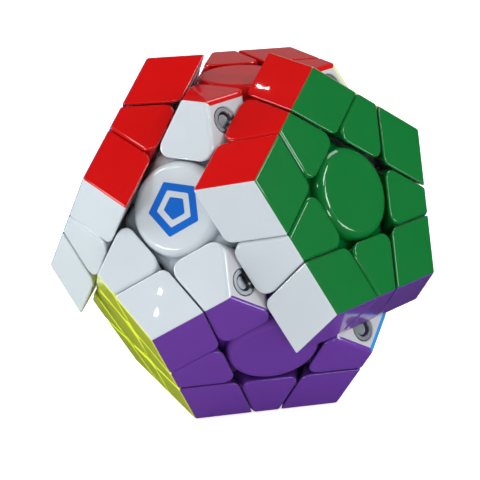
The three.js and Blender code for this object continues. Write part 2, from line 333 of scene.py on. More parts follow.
def round_rims(block, faces):
    round_edges(block, lambda a, b: planes_through(a, b, faces, FACE_DISTANCE), RIM_ROUND, RIM_STEPS)


corner_block = block_of("corner_block", CORNER)
round_edges(
    corner_block,
    lambda a, b: planes_through(a, b, CORNER, OWN_CUT) == 2,
    CORNER_TIP,
    CORNER_TIP_STEPS,
)
round_rims(corner_block, CORNER)
print("the corner block has", faces_in(corner_block), "faces")

# %% [markdown]
# ## The edge block
# An edge piece is a wedge between its two outer faces. Its own two cuts meet on the inside, and the
# cuts of the two faces at its ends trim it to length. Seen from outside it is a petal, with two wide
# rounded corners towards the centre of the face, so the four slanting edges get a large bevel.

# %% Cut and round the edge block
EDGE_PIECE = ("red", "white")
ENDS = neighbours(*EDGE_PIECE)
PETAL_TIP = 3.4 * MM
PETAL_TIP_STEPS = 8

edge_block = block_of("edge_block", EDGE_PIECE)
for face in ENDS:
    keep_inside(edge_block, AXES[face], OTHER_CUT)
round_edges(
    edge_block,
    lambda a, b: planes_through(a, b, EDGE_PIECE, OWN_CUT) and planes_through(a, b, ENDS, OTHER_CUT),
    PETAL_TIP,
    PETAL_TIP_STEPS,
)
round_rims(edge_block, EDGE_PIECE)
print("the edge block has", faces_in(edge_block), "faces")

# %% [markdown]
# ## Coloured shells and white bodies
# Nobody paints this puzzle. Each outer face of a piece is a thin shell moulded in its own colour and
# clipped on a white body. At its inner tip, next to the centre, the shell has a skirt that reaches
# deeper, so the hollows round a centre show colour and no white. Shell and body both start as copies
# of the block. A large plain solid with the shape of the body's core is cut out of the shell, the
# room for the skirt is cut out of the body, and planes do the rest.

# %% Split the blocks
SHELL = 0.95 * MM
SKIRT_DEPTH = 5.5 * MM
SKIRT_THICKNESS = 1.8 * MM


def tip_plane(faces, face):
    """The plane at the inner tip of the shell on this face, as an axis and a distance."""
    total = sum((AXES[other] for other in faces if other != face), Vector())
    return total.normalized(), (len(faces) - 1) * OWN_CUT / total.length


def big_block(faces):
    return cube("cutter", 3 * EDGE, direction(faces) * VERTEX_RADIUS)


def shell_over(block, faces, face):
    """The coloured shell on one face of a block."""
    shell = twin(block, f"{face}_shell")
    tip, distance = tip_plane(faces, face)
    core_space = big_block(faces)
    keep_inside(core_space, AXES[face], FACE_DISTANCE - SHELL)
    keep_outside(core_space, tip, distance + SKIRT_THICKNESS)
    combine(shell, core_space, "DIFFERENCE")
    keep_outside(shell, AXES[face], FACE_DISTANCE - SKIRT_DEPTH)
    for other in faces:
        if other != face:
            keep_outside(shell, (AXES[face] - AXES[other]).normalized(), 0)
    return shell


def body_under(block, faces, name):
    """The white body under the shells of a block."""
    body = twin(block, name)
    for face in faces:
        keep_inside(body, AXES[face], FACE_DISTANCE - SHELL)
    for face in faces:
        tip, distance = tip_plane(faces, face)
        skirt_space = big_block(faces)
        keep_outside(skirt_space, AXES[face], FACE_DISTANCE - SKIRT_DEPTH)
        keep_inside(skirt_space, tip, distance + SKIRT_THICKNESS)
        combine(body, skirt_space, "DIFFERENCE")
    return body


corner_shells = {face: shell_over(corner_block, CORNER, face) for face in CORNER}
edge_shells = {face: shell_over(edge_block, EDGE_PIECE, face) for face in EDGE_PIECE}
corner_body = body_under(corner_block, CORNER, "corner_body")
edge_body = body_under(edge_block, EDGE_PIECE, "edge_body")
for block in (corner_block, edge_block):
    bpy.data.objects.remove(block)
for shell in [*corner_shells.values(), *edge_shells.values()]:
    smooth(shell)
print(len(corner_shells), "corner shells and", len(edge_shells), "edge shells")

# %% [markdown]
# ## Building upwards
# Stalks, screws, magnets and caps are all rings stacked on an axis. As by hand, we start with a
# filled ring, extrude it, scale it, and go on. A step holds a height and the size of the ring there,
# in millimetres. Heights count from the puzzle's middle, except on the magnets, whose height 0 is the
# wall. Extruding to the same height and scaling down makes a flat shoulder, and a step back down a hole.

# %% Rings stacked on an axis
LATHE_SIDES = 24


def ring(name, sides, height, radius=1):
    """A filled ring round the Z axis, of radius 1 m if a first step scales it to its real size."""
    place = (0, 0, height)
    select_nothing()
    bpy.ops.mesh.primitive_circle_add(vertices=sides, radius=radius, fill_type="NGON", location=place)
    bpy.ops.object.transform_apply(location=True)
    return newest(name)


def extrude_up(rise):
    bpy.ops.mesh.extrude_region_move(TRANSFORM_OT_translate={"value": (0, 0, rise)})


def build_up(piece, steps, start):
    """Extrudes the top ring through the steps, each a height and the ring's half width in x and y."""
    edit_all(piece, "FACE")
    height, width, depth = steps[0][0], *start
    for number, (new_height, new_width, new_depth) in enumerate(steps):
        if number:
            extrude_up(new_height - height)
        scale = (new_width / width, new_depth / depth, 1)
        bpy.ops.transform.resize(value=scale, center_override=(0, 0, new_height))
        height, width, depth = new_height, new_width, new_depth
    end_edit()
    return piece


def turned(name, steps, sides=LATHE_SIDES):
    """A piece made on a lathe, from steps of height and radius in millimetres."""
    rings = [(height * MM, radius * MM, radius * MM) for height, radius in steps]
    return build_up(ring(name, sides, rings[0][0]), rings, (1, 1))


def turn_to(piece, matrix):
    """Moves the mesh and leaves the object at the origin."""
    piece.data.transform(matrix)
    return piece


print("the lathe gives a piece", LATHE_SIDES, "sides unless it is told otherwise")

# %% [markdown]
# ## Stalks and feet
# Below its block every piece carries a stalk that ends in a wider foot. The feet of the edges slide
# under the centres and those of the corners under the edges, and this alone holds the puzzle
# together. A corner's foot is round. An edge's stalk is long along the edge, and its foot is wide
# the other way, to reach under both centres. Its section is a square with rounded corners, drawn
# large and scaled down to size by the first step.

# %% Join the stalks to the bodies
CORNER_STALK = ((19.9, 3.4), (20.3, 4.0), (21.2, 4.1), (23.0, 3.2), (24.6, 2.5), (26.5, 2.2), (34, 2.2))
EDGE_STALK = (  # height, half width across the edge and half width along it
    (19.9, 5.2, 2.2),
    (20.3, 5.9, 2.6),
    (21.2, 6.0, 2.9),
    (22.8, 5.1, 3.7),
    (24.4, 4.3, 4.9),
    (26.0, 3.8, 6.0),
    (31.0, 3.8, 6.0),
)
SECTION_HALF = 4
SECTION_ROUND = 1.6

corner_stalk = turned("corner_stalk", CORNER_STALK)
combine(corner_body, turn_to(corner_stalk, frame_of(CORNER)), "UNION")

edge_rings = [(height * MM, across * MM, along * MM) for height, across, along in EDGE_STALK]
select_nothing()
bpy.ops.mesh.primitive_plane_add(size=2 * SECTION_HALF, location=(0, 0, edge_rings[0][0]))
edge_stalk = newest("edge_stalk")
bpy.ops.object.transform_apply(location=True)
edit_all(edge_stalk)
bpy.ops.mesh.bevel(offset=SECTION_ROUND, segments=5, affect="VERTICES")
bpy.ops.object.mode_set(mode="OBJECT")
build_up(edge_stalk, edge_rings, (SECTION_HALF, SECTION_HALF))
combine(edge_body, turn_to(edge_stalk, frame_of(EDGE_PIECE)), "UNION")
print("bodies with stalks:", faces_in(corner_body), "and", faces_in(edge_body), "faces")

# %% [markdown]
# ## Magnets and their pockets
# Small ring magnets in the walls between corners and edges make the layers click into line. Each sits
# in a round pocket, and its seat is worked out from the wall: the outer tip of the wall is where three
# planes meet, which is one small matrix turned round, and the magnet lies a step inwards from there.

# %% Cut the pockets and make the magnets
MAGNET_FROM_TIP = 6.0 * MM
MAGNET_SIDES = 32
POCKET = ((-1.5, 2.95), (-0.2, 2.95), (0, 3.15), (1, 3.15))
MAGNET = (
    (-1.45, 2.7),
    (-1.3, 2.9),
    (-0.3, 2.9),
    (-0.12, 2.75),
    (-0.12, 1.95),
    (-0.5, 1.5),
    (-0.8, 1.4),
)


def magnet_seat(wall, distance, side_faces, outward):
    """The place of a magnet in a wall, with Z pointing out of the wall."""
    planes = Matrix((AXES[wall], AXES[side_faces[0]], AXES[side_faces[1]]))
    tip = planes.inverted() @ Vector((distance, FACE_DISTANCE, FACE_DISTANCE))
    out = direction(side_faces)
    inwards = (AXES[wall] * out.dot(AXES[wall]) - out).normalized()
    seat = (AXES[wall] * outward).to_track_quat("Z", "Y").to_matrix().to_4x4()
    return Matrix.Translation(tip + inwards * MAGNET_FROM_TIP) @ seat


corner_seats = [
    magnet_seat(wall, OWN_CUT, [face for face in CORNER if face != wall], -1) for wall in CORNER
]
edge_seats = [magnet_seat(end, OTHER_CUT, EDGE_PIECE, 1) for end in ENDS]


def add_magnets(body, seats, name):
    """Cuts a pocket at every seat and returns the magnets that fill them, as one object."""
    rings = []
    for seat in seats:
        pocket = turned("pocket", POCKET, MAGNET_SIDES)
        combine(body, turn_to(pocket, seat), "DIFFERENCE")
        rings.append(turn_to(turned("magnet", MAGNET, MAGNET_SIDES), seat))
    select_nothing()
    for magnet in rings:
        magnet.select_set(True)
    bpy.context.view_layer.objects.active = rings[0]
    bpy.ops.object.join()
    smooth(rings[0])
    rings[0].name = name
    return rings[0]


corner_magnets = add_magnets(corner_body, corner_seats, "corner_magnets")
edge_magnets = add_magnets(edge_body, edge_seats, "edge_magnets")
smooth(corner_body)
smooth(edge_body)
print("a corner holds", len(corner_seats), "magnets and an edge", len(edge_seats))

# %% [markdown]
# ## The centre cap
# Seen from outside a centre is a round button, but lower down it flares into a pentagon that fills
# the space between the edges. A five-sided ring with rounded corners is the start. On its way up each
# new ring is drawn a little towards a circle by the To Sphere transform and scaled to the width that
# we want at that depth. The centres are modelled on the red face, whose axis is simply Z.

# %% Model the cap
CENTRE = ("red",)
CAP_DEPTH = 5.5 * MM
CAP_ROUND = 2.0 * MM
CAP_ROUND_STEPS = 5
CAP_CORNER = 1.6 * MM
CAP_START_RADIUS = 15 * MM
CAP_SIDE_CUTS = 9
LONG_SIDE = 3 * MM  # a longer edge of the start is a side, a shorter one belongs to a rounded corner
CAP_STEPS = (  # depth below the face, width to the middle of a side, how far to go towards a circle
    (5.5, 12.1, 0.0),
    (4.9, 11.8, 0.0),
    (4.4, 11.5, 0.05),
    (4.0, 11.25, 0.12),
    (3.6, 11.0, 0.22),
    (3.3, 10.8, 0.4),
    (3.0, 10.6, 0.65),
    (2.7, 10.45, 1.0),
    (0.0, 10.25, 1.0),
)


def side_width(piece):
    """The smallest distance of the selected points from the Z axis."""
    bpy.ops.object.mode_set(mode="OBJECT")
    width = min(point.co.xy.length for point in piece.data.vertices if point.select)
    bpy.ops.object.mode_set(mode="EDIT")
    return width


centre_cap = ring("centre_cap", 5, FACE_DISTANCE - CAP_DEPTH, CAP_START_RADIUS)
edit_all(centre_cap, "EDGE")
bpy.ops.mesh.bevel(offset=CAP_CORNER, segments=6, affect="VERTICES")
bpy.ops.object.mode_set(mode="OBJECT")
select_edges(centre_cap, lambda a, b: (a - b).length > LONG_SIDE)
bpy.ops.mesh.subdivide(number_cuts=CAP_SIDE_CUTS)
bpy.ops.mesh.select_mode(type="FACE")
bpy.ops.mesh.select_all(action="SELECT")
depth = CAP_STEPS[0][0]
for number, (new_depth, width, roundness) in enumerate(CAP_STEPS):
    if number:
        extrude_up((depth - new_depth) * MM)
    middle = (0, 0, FACE_DISTANCE - new_depth * MM)
    bpy.ops.transform.tosphere(value=roundness, center_override=middle)
    scale = width * MM / side_width(centre_cap)
    bpy.ops.transform.resize(value=(scale, scale, 1), center_override=(0, 0, 0))
    depth = new_depth
end_edit()
round_edges(
    centre_cap,
    lambda a, b: planes_through(a, b, CENTRE, FACE_DISTANCE),
    CAP_ROUND,
    CAP_ROUND_STEPS,
)
smooth(centre_cap)
print("the cap has", faces_in(centre_cap), "faces")

# %% [markdown]
# ## The centre base
# Under the cap is a white base. It is cut from a block by the planes of the five neighbouring layers,
# and then by a wide cone about each neighbour's axis, which leaves room for the stalks that sweep
# past when that layer turns. A stem holds the feet of the edges down. A well in the middle takes the
# screw's head and the spring under it, and a narrow bore lets the screw through to the core.

# %% Model the base
BASE_ROUND = 2.0 * MM
BASE_ROUND_STEPS = 5
CAP_GAP = 0.03 * MM
NECK_ROOM = ((18, 17.2), (28, 26.5))
NECK_ROOM_SIDES = 48
STEM = ((19.8, 3.9), (20.1, 4.3), (21.5, 4.6), (23.2, 5.6), (24.6, 7.0), (25.6, 8.6), (27, 8.6))
STEM_SIDES = 32
WELL = ((23.5, 3.5), (34, 3.5))
BORE = ((18, 1.65), (24, 1.65))

centre_base = cube("centre_base", BLOCK_SIZE, (0, 0, FACE_DISTANCE))
keep_inside(centre_base, AXES["red"], FACE_DISTANCE - CAP_DEPTH - CAP_GAP)
keep_outside(centre_base, AXES["red"], OWN_CUT)
for face in UPPER:
    keep_inside(centre_base, AXES[face], OTHER_CUT)
round_edges(
    centre_base,
    lambda a, b: planes_through(a, b, UPPER, OTHER_CUT) == 2,
    BASE_ROUND,
    BASE_ROUND_STEPS,
)
for face in UPPER:
    neck_room = turned("neck_room", NECK_ROOM, NECK_ROOM_SIDES)
    combine(centre_base, turn_to(neck_room, frame_of((face,))), "DIFFERENCE")
combine(centre_base, turned("stem", STEM, STEM_SIDES), "UNION")
combine(centre_base, turned("well", WELL), "DIFFERENCE")
combine(centre_base, turned("bore", BORE), "DIFFERENCE")
smooth(centre_base)
print("the base has", faces_in(centre_base), "faces")

# %% [markdown]
# ## Screw, spring and core
# A screw through each centre presses a spring on the floor of the well, and the springs give the
# puzzle its soft turning. The screw is turned and gets a crossed slot. The spring is one small ring
# carried round and up by the Screw modifier. The core is a ball with a flat for each of the twelve
# faces and an arm on every flat.

# %% Model the screw
SCREW_TOP = 31.0
SCREW = (
    (11.9, 0.7),
    (12.6, 1.25),
    (29.4, 1.25),
    (29.4, 2.7),
    (29.6, 2.9),
    (30.4, 2.9),
    (30.9, 2.4),
    (SCREW_TOP, 1.9),
)
SLOT = (0.7 * MM, 3.4 * MM, 1.6 * MM)

screw = turned("screw", SCREW)
for quarter in (0, math.pi / 2):
    select_nothing()
    bpy.ops.mesh.primitive_cube_add(size=1, location=(0, 0, SCREW_TOP * MM), rotation=(0, 0, quarter))
    slot = newest("slot")
    slot.scale = SLOT
    bpy.ops.object.transform_apply()
    combine(screw, slot, "DIFFERENCE")
smooth(screw)
print("the screw has", faces_in(screw), "faces")

# %% Wind the spring
SPRING_RADIUS = 2.6 * MM
SPRING_WIRE = 0.3 * MM
SPRING_START = 24.4 * MM
SPRING_PITCH = 1.4 * MM
SPRING_TURNS = 3
SPRING_STEPS = 20  # to a turn

select_nothing()
bpy.ops.mesh.primitive_circle_add(
    vertices=8,
    radius=SPRING_WIRE,
    location=(SPRING_RADIUS, 0, SPRING_START),
    rotation=(math.pi / 2, 0, 0),
)
spring = newest("spring")
bpy.ops.object.transform_apply()
bpy.ops.object.modifier_add(type="SCREW")
coil = spring.modifiers[-1]
coil.screw_offset = SPRING_PITCH
coil.iterations = SPRING_TURNS
coil.steps = coil.render_steps = SPRING_STEPS
bpy.ops.object.modifier_apply(modifier=coil.name)
edit_all(spring)
bpy.ops.mesh.fill_holes(sides=0)
end_edit()
smooth(spring)
print("the spring has", faces_in(spring), "faces")

# %% Model the core
CORE_RADIUS = 9 * MM
CORE_FLAT = 8.6 * MM
ARM = ((7, 3.6), (10, 3.6), (11, 3.2), (17.6, 3.2), (18.2, 3.5), (18.6, 3.5), (18.8, 3.3))
THREAD = ((11, 1.3), (20, 1.3))
THREAD_SIDES = 16

select_nothing()
bpy.ops.mesh.primitive_uv_sphere_add(segments=32, ring_count=24, radius=CORE_RADIUS, location=(0, 0, 0))
core = newest("core")
for face in FACES:
    keep_inside(core, AXES[face], CORE_FLAT)
for face in FACES:
    outwards = frame_of((face,))
    combine(core, turn_to(turned("arm", ARM), outwards), "UNION")
    combine(core, turn_to(turned("thread", THREAD, THREAD_SIDES), outwards), "DIFFERENCE")
smooth(core)
print("the core has", faces_in(core), "faces")

# %% [markdown]
# ## The mark on the white centre
# The white centre carries a small printed mark. Ours is a plain pentagon with a smaller one inside,
# the puzzle's own outline. It is thin as a print, so it is two filled pentagons, the outer one with a
# hole, raised by a few hundredths of a millimetre so that light treats its edge as ink.

# %% Model the mark
MARK_RADIUS = 6.2 * MM
MARK_BAND = 1.6 * MM
MARK_HEIGHT = 0.05 * MM
MARK_HEART = 2.6 * MM
MARK_SINK = 0.02 * MM
MARK_ROUND = 0.25 * MM
MARK_ROUND_STEPS = 4


def upright(a, b):
    return (a.xy - b.xy).length < NEAR


def pentagon(radius, band):
    """A flat raised pentagon, with a hole in it when it is given the width of a band."""
    piece = ring("mark", 5, FACE_DISTANCE - MARK_SINK, radius)
    edit_all(piece, "FACE")
    if band:
        bpy.ops.mesh.inset(thickness=band)
        bpy.ops.mesh.delete(type="FACE")
        bpy.ops.mesh.select_all(action="SELECT")
    extrude_up(MARK_SINK + MARK_HEIGHT)
    end_edit()
    round_edges(piece, upright, MARK_ROUND, MARK_ROUND_STEPS)
    return piece


mark = pentagon(MARK_RADIUS, MARK_BAND)
heart = pentagon(MARK_HEART, 0)
only(mark)
heart.select_set(True)
bpy.ops.object.join()
print("the mark has", faces_in(mark), "faces")

# %% [markdown]
# ## Moulded plastic as a node group
# Glossy plastic is never perfectly even. Its colour drifts a little, fingers leave duller patches, and
# the mould gives it a faint waviness known as orange peel, with a finer grain on top. All the plastics
# share these effects, so they are one node group. It hands out a colour, a roughness and a height, and
# each material feeds them to its own Principled shader. Object coordinates keep the pattern still.

# %% Helpers for nodes
def new_group(name, inputs, outputs):
    """An empty node group with named sockets, each given as a name, a type and a default."""
    tree = bpy.data.node_groups.new(name, "ShaderNodeTree")
    for label, kind, value in inputs:
        socket = tree.interface.new_socket(name=label, in_out="INPUT", socket_type=kind)
        if value is not None:
            socket.default_value = value
    for label, kind in outputs:
        tree.interface.new_socket(name=label, in_out="OUTPUT", socket_type=kind)
    return tree


def add_node(tree, kind, label, **settings):
    node = tree.nodes.new(kind)
    node.name = node.label = label
    for setting, value in settings.items():
        setattr(node, setting, value)
    return node


def add_noise(tree, position, label, scale, detail=2.0, rough=0.5):
    """A noise texture, its scale in waves to the metre."""
    noise = add_node(tree, "ShaderNodeTexNoise", label)
    noise.inputs["Scale"].default_value = scale
    noise.inputs["Detail"].default_value = detail
    noise.inputs["Roughness"].default_value = rough
    tree.links.new(position, noise.inputs["Vector"])
    return noise.outputs["Fac"]


def remap(tree, value, label, low, high, to_low, to_high):
    """Stretches the values from low to high onto a new range."""
    node = add_node(tree, "ShaderNodeMapRange", label)
    node.inputs["From Min"].default_value = low
    node.inputs["From Max"].default_value = high
    tree.links.new(value, node.inputs["Value"])
    for socket, target in (("To Min", to_low), ("To Max", to_high)):
        if isinstance(target, bpy.types.NodeSocket):
            tree.links.new(target, node.inputs[socket])
        else:
            node.inputs[socket].default_value = target
    return node.outputs["Result"]


def calculate(tree, operation, first, second, label):
    node = add_node(tree, "ShaderNodeMath", label, operation=operation)
    for socket, value in zip(node.inputs, (first, second)):
        if isinstance(value, bpy.types.NodeSocket):
            tree.links.new(value, socket)
        else:
            socket.default_value = value
    return node.outputs["Value"]


print("node helpers ready")

# %% A group for moulded surfaces
moulded = new_group(
    "moulded_surface",
    (
        ("Position", "NodeSocketVector", None),
        ("Colour", "NodeSocketColor", (0.8, 0.8, 0.8, 1)),
        ("Shade Drift", "NodeSocketFloat", 0.05),
        ("Polished", "NodeSocketFloat", 0.25),
        ("Smudged", "NodeSocketFloat", 0.4),
        ("Grain", "NodeSocketFloat", 0.3),
    ),
    (("Colour", "NodeSocketColor"), ("Roughness", "NodeSocketFloat"), ("Height", "NodeSocketFloat")),
)
enter = add_node(moulded, "NodeGroupInput", "in")
leave = add_node(moulded, "NodeGroupOutput", "out")
position = enter.outputs["Position"]
drift = add_noise(moulded, position, "drift of the shade", 45, 3)
one_less = calculate(moulded, "SUBTRACT", 1.0, enter.outputs["Shade Drift"], "darkest")
one_more = calculate(moulded, "ADD", 1.0, enter.outputs["Shade Drift"], "lightest")
shade = remap(moulded, drift, "shade", 0.3, 0.7, one_less, one_more)
tinted = add_node(moulded, "ShaderNodeVectorMath", "tinted colour", operation="SCALE")
moulded.links.new(enter.outputs["Colour"], tinted.inputs[0])
moulded.links.new(shade, tinted.inputs["Scale"])
moulded.links.new(tinted.outputs["Vector"], leave.inputs["Colour"])
smudges = add_noise(moulded, position, "smudges", 110, 5, 0.6)
roughness = remap(
    moulded, smudges, "roughness", 0.42, 0.7, enter.outputs["Polished"], enter.outputs["Smudged"]
)
moulded.links.new(roughness, leave.inputs["Roughness"])
peel = add_noise(moulded, position, "orange peel", 420, 1)
grain = add_noise(moulded, position, "grain", 3200, 2)
fine = calculate(moulded, "MULTIPLY", grain, enter.outputs["Grain"], "weak grain")
height = calculate(moulded, "ADD", peel, fine, "height")
moulded.links.new(height, leave.inputs["Height"])
print("the moulded group has", len(moulded.nodes), "nodes")

# %% [markdown]
# ## Hairline scratches
# A puzzle that is turned by hand gets fine scratches. Noise stretched far along one direction makes
# streaks, and keeping only the tops of its waves leaves a few thin lines. Two directions crossed look
# natural. The mask makes the surface duller and lowers it by a trace.

# %% A group for scratches
scratched = new_group(
    "hairline_scratches", (("Position", "NodeSocketVector", None),), (("Mask", "NodeSocketFloat"),)
)
enter = add_node(scratched, "NodeGroupInput", "in")
leave = add_node(scratched, "NodeGroupOutput", "out")
streaks = []
for label, turn, stretch in (
    ("one way", (0.4, 0.9, 0.3), (1500, 40, 900)),
    ("other way", (1.2, 0.2, 1.9), (60, 1700, 1100)),
):
    mapping = add_node(scratched, "ShaderNodeMapping", "stretched " + label)
    mapping.inputs["Rotation"].default_value = turn
    mapping.inputs["Scale"].default_value = stretch
    scratched.links.new(enter.outputs["Position"], mapping.inputs["Vector"])
    noise = add_noise(scratched, mapping.outputs["Vector"], "streaks " + label, 1, 0)
    streaks.append(remap(scratched, noise, "lines " + label, 0.76, 0.82, 0.0, 1.0))
both = calculate(scratched, "MAXIMUM", streaks[0], streaks[1], "both ways")
scratched.links.new(both, leave.inputs["Mask"])
print("the scratch group has", len(scratched.nodes), "nodes")

# %% [markdown]
# ## The materials
# The coloured shells are hard and glossy: a fairly smooth base under a thin clear coat, which gives
# the crisp small highlights. The inner plastic has a quarter of that coat, and the core has none. The
# inner plastic is coloured greyer than the white it really is. That grey is painted shade for its walls,
# which sit in shade between the pieces. Screws, springs and magnets are dull grey nickel. Colours are
# typed as on a colour picker, so they are turned from display values to the linear ones that the shader
# works with.

# %% Colours
SHELL_COLOURS = {
    "red": (206, 4, 5),
    "white": (203, 211, 221),
    "green": (3, 112, 46),
    "cream": (230, 230, 178),
    "pink": (226, 96, 150),
    "blue": (24, 52, 158),
    "purple": (104, 56, 158),
    "sky": (48, 146, 230),
    "grey": (128, 134, 140),
    "lime": (120, 205, 52),
    "yellow": (232, 246, 58),
    "orange": (240, 112, 20),
}


def linear(display):
    """A colour picker's 0 to 255 values as linear light."""
    shares = [value / 255 for value in display]
    light = [share / 12.92 if share <= 0.04045 else ((share + 0.055) / 1.055) ** 2.4 for share in shares]
    return (*light, 1)


print("the red of the shells in linear light:", linear(SHELL_COLOURS["red"]))

# %% What all the finishes share
BUMP_DEPTH = 0.02 * MM


def moulded_material(name, display, **values):
    """A material with the moulded colour, given back with its nodes and the object's coordinates."""
    material = bpy.data.materials.new(name)
    material.use_nodes = True
    material.diffuse_color = linear(display)
    tree = material.node_tree
    place = add_node(tree, "ShaderNodeTexCoord", "place").outputs["Object"]
    surface = add_node(tree, "ShaderNodeGroup", "moulded surface", node_tree=moulded)
    surface.inputs["Colour"].default_value = linear(display)
    for socket, value in values.items():
        surface.inputs[socket.replace("_", " ")].default_value = value
    tree.links.new(place, surface.inputs["Position"])
    tree.links.new(surface.outputs["Colour"], tree.nodes["Principled BSDF"].inputs["Base Color"])
    return material, tree, surface, place


def add_bumps(tree, height, strength):
    shader = tree.nodes["Principled BSDF"]
    bumps = add_node(tree, "ShaderNodeBump", "bumps")
    bumps.inputs["Strength"].default_value = strength
    bumps.inputs["Distance"].default_value = BUMP_DEPTH
    tree.links.new(height, bumps.inputs["Height"])
    tree.links.new(bumps.outputs["Normal"], shader.inputs["Normal"])
    return shader


print("a full unit of height makes a bump of", BUMP_DEPTH / MM, "mm")

# %% Plastic and nickel
NICKEL = (142, 145, 151)
SCRATCH_DULLS = 0.15
SCRATCH_LOWERS = -0.25


def add_share(tree, value, share, base, label):
    """Adds a share of one value to another."""
    total = calculate(tree, "MULTIPLY_ADD", value, share, label)
    tree.links.new(base, tree.nodes[label].inputs[2])
    return total


def plastic(name, display, coat, polished, smudged, drift, bump):
    """Moulded plastic, duller and a trace lower in its scratches, under a clear coat."""
    material, tree, surface, place = moulded_material(
        name, display, Shade_Drift=drift, Polished=polished, Smudged=smudged
    )
    scratches = add_node(tree, "ShaderNodeGroup", "scratches", node_tree=scratched)
    tree.links.new(place, scratches.inputs["Position"])
    mask = scratches.outputs["Mask"]
    duller = add_share(tree, mask, SCRATCH_DULLS, surface.outputs["Roughness"], "duller in scratches")
    lower = add_share(tree, mask, SCRATCH_LOWERS, surface.outputs["Height"], "lower in scratches")
    shader = add_bumps(tree, lower, bump)
    tree.links.new(duller, shader.inputs["Roughness"])
    shader.inputs["Specular IOR Level"].default_value = 0.12
    shader.inputs["Coat Weight"].default_value = coat
    shader.inputs["Coat Roughness"].default_value = 0.02
    shader.inputs["Coat IOR"].default_value = 1.6
    return material


def nickel(name):
    material, tree, surface, _ = moulded_material(
        name, NICKEL, Shade_Drift=0.1, Polished=0.3, Smudged=0.44, Grain=1.0
    )
    shader = add_bumps(tree, surface.outputs["Height"], 0.6)
    tree.links.new(surface.outputs["Roughness"], shader.inputs["Roughness"])
    shader.inputs["Metallic"].default_value = 1.0
    return material


print("plastic and nickel can be made")

# %% Make the materials
# A finish is the coat, the roughness where polished and where smudged, the drift and the bumps.
SHELL_FINISH = (1.0, 0.28, 0.34, 0.02, 0.25)
OTHER_PLASTICS = (
    # The inner plastic is greyer than its real white. The grey is painted shade for walls that sit in
    # shade between the pieces.
    ("inner_white_plastic", (192, 192, 200), (0.25, 0.3, 0.4, 0.02, 0.4)),
    # The core's light cream is painted light. It stands in for the warm light that reaches the hollows.
    ("core_plastic", (214, 210, 190), (0.0, 0.4, 0.55, 0.08, 0.8)),
    ("mark_ink", (14, 98, 200), (0.3, 0.3, 0.42, 0.04, 0.4)),
)
materials = {
    f"{face}_plastic": plastic(f"{face}_plastic", display, *SHELL_FINISH)
    for face, display in SHELL_COLOURS.items()
}
for name, display, finish in OTHER_PLASTICS:
    materials[name] = plastic(name, display, *finish)
materials["steel"] = nickel("steel")
print(len(materials), "materials")

# %% [markdown]
# ## Filling all the places
# Now the modelled pieces are copied to every place. A copy gets its own mesh, its place goes into that
# mesh, and it rides with the body that turns it. It also hides the plain node of the imported model that
# it stands for. A mirrored order of faces would put a corner in the wrong way round, so the order is
# checked first. Ten pieces of the grey layer, and four beside it, share a node each in that model.

# %% Copy, place and ride
SHARED_CORNER = {"yellow", "lime", "orange"}


def name_of(faces):
    return "_".join(("edge" if len(faces) == 2 else "corner", *faces))


def node_for(faces):
    """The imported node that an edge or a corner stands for."""
    if "grey" in faces:
        return "grey_layer_ring"
    if set(faces) <= SHARED_CORNER:
        return "corner_yellow_lime_orange_with_edges"
    return name_of(faces)


made = []


def put(model, name, modelled_on, faces, finish, body, *nodes):
    """One copy of a modelled piece in its place, with its finish, its body and the nodes it replaces."""
    piece = twin(model, name)
    turn_to(piece, placing(modelled_on, faces))
    piece.data.materials.clear()
    piece.data.materials.append(materials[finish])
    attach(piece, body)
    if nodes:
        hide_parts(*nodes)
    made.append(piece)


def same_hand(faces):
    """A corner's faces in the order in which the modelled corner's go round."""
    a, b, c = (AXES[face] for face in faces)
    return faces if a.cross(b).dot(c) > 0 else (faces[0], faces[2], faces[1])


def put_outer(faces, modelled_on, shells, body_model, magnets):
    """An edge or a corner in its place, as a body, its magnets and its coloured shells."""
    name = name_of(faces)
    ordered = same_hand(faces) if len(faces) == 3 else faces
    rides_on, node = body_for(faces), node_for(faces)
    put(body_model, f"{name}_body", modelled_on, ordered, "inner_white_plastic", rides_on, node)
    put(magnets, f"{name}_magnets", modelled_on, ordered, "steel", rides_on, node)
    for model_face, face in zip(modelled_on, ordered):
        finish = f"{face}_plastic"
        put(shells[model_face], f"{name}_shell_{face}", modelled_on, ordered, finish, rides_on, node)


for faces in EDGES:
    put_outer(faces, EDGE_PIECE, edge_shells, edge_body, edge_magnets)
for faces in CORNERS:
    put_outer(faces, CORNER, corner_shells, corner_body, corner_magnets)
print(len(made), "pieces in", len(EDGES), "edges and", len(CORNERS), "corners")

# %% [markdown]
# ## Centres and core in their places
# A centre's cap and base turn with their layer, but its screw and spring stay with the core. Only the
# three layers that can turn here have these as separate nodes; for the other nine centres all the
# pieces stand for one node.

# %% Place the centres, screws, springs and the core
for face in FACES:
    rides_on = body_for((face,))
    for model, part, finish, body in (
        (centre_cap, "centre_cap", f"{face}_plastic", rides_on),
        (centre_base, "centre_base", "inner_white_plastic", rides_on),
        (screw, "screw", "steel", "root"),
        (spring, "spring", "steel", "root"),
    ):
        node = f"{part}_{face}" if face in TURNS else f"centre_{face}"
        put(model, f"{part}_{face}_fine", CENTRE, (face,), finish, body, node)
put(mark, "mark_white", CENTRE, ("white",), "mark_ink", "root")
put(core, "core_fine", CENTRE, CENTRE, "core_plastic", "root", "core_spider")
outer_models = (corner_body, edge_body, corner_magnets, edge_magnets)
inner_models = (centre_cap, centre_base, screw, spring, core, mark)
for model in (*corner_shells.values(), *edge_shells.values(), *outer_models, *inner_models):
    bpy.data.objects.remove(model)
print(len(made), "pieces stand for", len(frame["nodes"]), "nodes")

# %% [markdown]
# ## The floor
# The puzzle stands on a plain pale floor that runs out of sight into a white surround. The floor is
# left out of glossy reflections, or it would lie as a pale film over the faces that lean down.

# %% Floor
FLOOR_SIZE = 6
PAPER_DARK = (0.93, 0.93, 0.935, 1)
PAPER_LIGHT = (0.96, 0.96, 0.96, 1)
PAPER_GLOW = 0.6  # seen by the camera alone, so the floor runs into the surround and lights nothing

